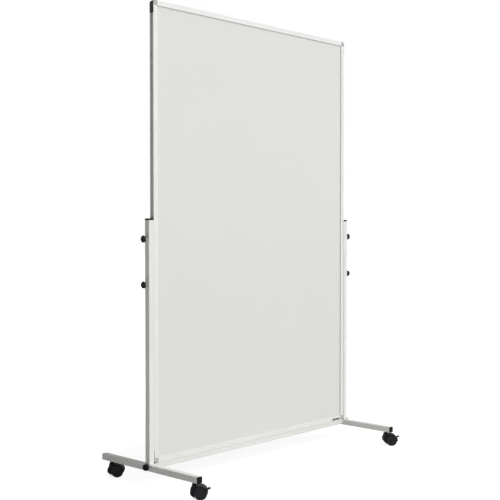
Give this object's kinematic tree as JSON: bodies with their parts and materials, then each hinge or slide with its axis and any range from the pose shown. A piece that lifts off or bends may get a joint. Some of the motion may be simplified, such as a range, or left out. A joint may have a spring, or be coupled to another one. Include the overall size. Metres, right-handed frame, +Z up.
{
  "type": "rolling whiteboard",
  "caption": "Portrait whiteboard in an aluminium frame, clamped so it slides up between two steel T-legs that roll on twin-wheel castors with brakes.",
  "frame": {"origin": "on the floor, midway between the two posts", "axes": "+X along the board's width to the right as seen by the writer, -Y out of the writing face, +Z up"},
  "size_m": [1.3117, 0.5836, 1.8893],
  "materials": {
    "writing_enamel": "semi-gloss enamelled writing surface",
    "core_board": "raw fibreboard",
    "galvanised_sheet": "dull galvanised",
    "anodised_aluminium": "satin silver anodised",
    "grey_plastic": "moulded, fine grain",
    "plate_plastic": "smooth, blank",
    "stand_lacquer": "light warm grey powder coat",
    "black_plastic": "moulded, fine grain",
    "castor_plastic": "moulded, satin",
    "wheel_plastic": "moulded, satin, scuffed tread",
    "zinc_steel": "bright zinc plated"
  },
  "bodies": {
    "stand": {"left_post": "stand_lacquer", "right_post": "stand_lacquer", "left_foot_bar": "stand_lacquer", "right_foot_bar": "stand_lacquer", "cross_bar": "stand_lacquer", "left_post_cap": "black_plastic", "right_post_cap": "black_plastic", "left_foot_front_cap": "black_plastic", "left_foot_rear_cap": "black_plastic", "right_foot_front_cap": "black_plastic", "right_foot_rear_cap": "black_plastic", "cross_bar_left_plug": "zinc_steel", "cross_bar_right_plug": "zinc_steel", "left_foot_washer": "zinc_steel", "right_foot_washer": "zinc_steel", "left_upper_slot_nut": "zinc_steel", "left_lower_slot_nut": "zinc_steel", "right_upper_slot_nut": "zinc_steel", "right_lower_slot_nut": "zinc_steel", "front_left_castor_stem": "zinc_steel", "front_right_castor_stem": "zinc_steel", "rear_left_castor_stem": "zinc_steel", "rear_right_castor_stem": "zinc_steel"},
    "board": {"front_sheet": "writing_enamel", "panel_core": "core_board", "rear_sheet": "galvanised_sheet", "frame_left_rail": "anodised_aluminium", "frame_top_rail": "anodised_aluminium", "frame_right_rail": "anodised_aluminium", "frame_bottom_rail": "anodised_aluminium", "corner_top_left": "grey_plastic", "corner_top_right": "grey_plastic", "corner_bottom_left": "grey_plastic", "corner_bottom_right": "grey_plastic", "maker_plate": "plate_plastic"},
    "left_upper_post_knob": {"left_upper_post_knob": "black_plastic"},
    "left_lower_post_knob": {"left_lower_post_knob": "black_plastic"},
    "right_upper_post_knob": {"right_upper_post_knob": "black_plastic"},
    "right_lower_post_knob": {"right_lower_post_knob": "black_plastic"},
    "left_foot_knob": {"left_foot_knob": "black_plastic"},
    "right_foot_knob": {"right_foot_knob": "black_plastic"},
    "front_left_castor_swivel": {"front_left_castor_housing": "castor_plastic", "front_left_castor_axle": "zinc_steel"},
    "front_left_castor_wheel_1": {"front_left_castor_wheel_1": "wheel_plastic"},
    "front_left_castor_wheel_2": {"front_left_castor_wheel_2": "wheel_plastic"},
    "front_right_castor_swivel": {"front_right_castor_housing": "castor_plastic", "front_right_castor_axle": "zinc_steel"},
    "front_right_castor_wheel_1": {"front_right_castor_wheel_1": "wheel_plastic"},
    "front_right_castor_wheel_2": {"front_right_castor_wheel_2": "wheel_plastic"},
    "rear_left_castor_swivel": {"rear_left_castor_housing": "castor_plastic", "rear_left_castor_axle": "zinc_steel"},
    "rear_left_castor_wheel_1": {"rear_left_castor_wheel_1": "wheel_plastic"},
    "rear_left_castor_wheel_2": {"rear_left_castor_wheel_2": "wheel_plastic"},
    "rear_right_castor_swivel": {"rear_right_castor_housing": "castor_plastic", "rear_right_castor_axle": "zinc_steel"},
    "rear_right_castor_wheel_1": {"rear_right_castor_wheel_1": "wheel_plastic"},
    "rear_right_castor_wheel_2": {"rear_right_castor_wheel_2": "wheel_plastic"},
    "front_left_castor_brake_lever": {"front_left_castor_brake_lever": "black_plastic"},
    "front_right_castor_brake_lever": {"front_right_castor_brake_lever": "black_plastic"}
  },
  "joints": [
    {"name": "board_lift", "type": "slide", "parent": "stand", "child": "board", "axis": [0, 0, 1], "range_m": [0, 0.3]},
    {"name": "left_upper_post_knob_turn", "type": "hinge", "parent": "stand", "child": "left_upper_post_knob", "pos_m": [-0.626, 0, 0.965], "axis": [-1, 0, 0], "range_deg": [0, 720]},
    {"name": "left_lower_post_knob_turn", "type": "hinge", "parent": "stand", "child": "left_lower_post_knob", "pos_m": [-0.626, 0, 0.788], "axis": [-1, 0, 0], "range_deg": [0, 720]},
    {"name": "right_upper_post_knob_turn", "type": "hinge", "parent": "stand", "child": "right_upper_post_knob", "pos_m": [0.626, 0, 0.965], "axis": [1, 0, 0], "range_deg": [0, 720]},
    {"name": "right_lower_post_knob_turn", "type": "hinge", "parent": "stand", "child": "right_lower_post_knob", "pos_m": [0.626, 0, 0.788], "axis": [1, 0, 0], "range_deg": [0, 720]},
    {"name": "left_foot_knob_turn", "type": "hinge", "parent": "stand", "child": "left_foot_knob", "pos_m": [-0.626, 0, 0.079], "axis": [-1, 0, 0], "range_deg": [0, 720]},
    {"name": "right_foot_knob_turn", "type": "hinge", "parent": "stand", "child": "right_foot_knob", "pos_m": [0.626, 0, 0.079], "axis": [1, 0, 0], "range_deg": [0, 720]},
    {"name": "front_left_castor_turn", "type": "hinge", "parent": "stand", "child": "front_left_castor_swivel", "pos_m": [-0.6135, -0.252, 0.061], "axis": [0, 0, 1], "continuous": true},
    {"name": "front_left_castor_wheel_1_spin", "type": "hinge", "parent": "front_left_castor_swivel", "child": "front_left_castor_wheel_1", "pos_m": [-0.59794, -0.26756, 0.025], "axis": [0.7071, 0.7071, 0], "continuous": true},
    {"name": "front_left_castor_wheel_2_spin", "type": "hinge", "parent": "front_left_castor_swivel", "child": "front_left_castor_wheel_2", "pos_m": [-0.59794, -0.26756, 0.025], "axis": [0.7071, 0.7071, 0], "continuous": true},
    {"name": "front_left_castor_brake", "type": "hinge", "parent": "front_left_castor_swivel", "child": "front_left_castor_brake_lever", "pos_m": [-0.58635, -0.27915, 0.0365], "axis": [0.7071, 0.7071, 0], "range_deg": [0, 20]},
    {"name": "front_right_castor_turn", "type": "hinge", "parent": "stand", "child": "front_right_castor_swivel", "pos_m": [0.6135, -0.252, 0.061], "axis": [0, 0, 1], "continuous": true},
    {"name": "front_right_castor_wheel_1_spin", "type": "hinge", "parent": "front_right_castor_swivel", "child": "front_right_castor_wheel_1", "pos_m": [0.62906, -0.26756, 0.025], "axis": [0.7071, 0.7071, 0], "continuous": true},
    {"name": "front_right_castor_wheel_2_spin", "type": "hinge", "parent": "front_right_castor_swivel", "child": "front_right_castor_wheel_2", "pos_m": [0.62906, -0.26756, 0.025], "axis": [0.7071, 0.7071, 0], "continuous": true},
    {"name": "front_right_castor_brake", "type": "hinge", "parent": "front_right_castor_swivel", "child": "front_right_castor_brake_lever", "pos_m": [0.64065, -0.27915, 0.0365], "axis": [0.7071, 0.7071, 0], "range_deg": [0, 20]},
    {"name": "rear_left_castor_turn", "type": "hinge", "parent": "stand", "child": "rear_left_castor_swivel", "pos_m": [-0.6135, 0.232, 0.061], "axis": [0, 0, 1], "continuous": true},
    {"name": "rear_left_castor_wheel_1_spin", "type": "hinge", "parent": "rear_left_castor_swivel", "child": "rear_left_castor_wheel_1", "pos_m": [-0.59794, 0.21644, 0.025], "axis": [0.7071, 0.7071, 0], "continuous": true},
    {"name": "rear_left_castor_wheel_2_spin", "type": "hinge", "parent": "rear_left_castor_swivel", "child": "rear_left_castor_wheel_2", "pos_m": [-0.59794, 0.21644, 0.025], "axis": [0.7071, 0.7071, 0], "continuous": true},
    {"name": "rear_right_castor_turn", "type": "hinge", "parent": "stand", "child": "rear_right_castor_swivel", "pos_m": [0.6135, 0.232, 0.061], "axis": [0, 0, 1], "continuous": true},
    {"name": "rear_right_castor_wheel_1_spin", "type": "hinge", "parent": "rear_right_castor_swivel", "child": "rear_right_castor_wheel_1", "pos_m": [0.62906, 0.21644, 0.025], "axis": [0.7071, 0.7071, 0], "continuous": true},
    {"name": "rear_right_castor_wheel_2_spin", "type": "hinge", "parent": "rear_right_castor_swivel", "child": "rear_right_castor_wheel_2", "pos_m": [0.62906, 0.21644, 0.025], "axis": [0.7071, 0.7071, 0], "continuous": true}
  ]
}
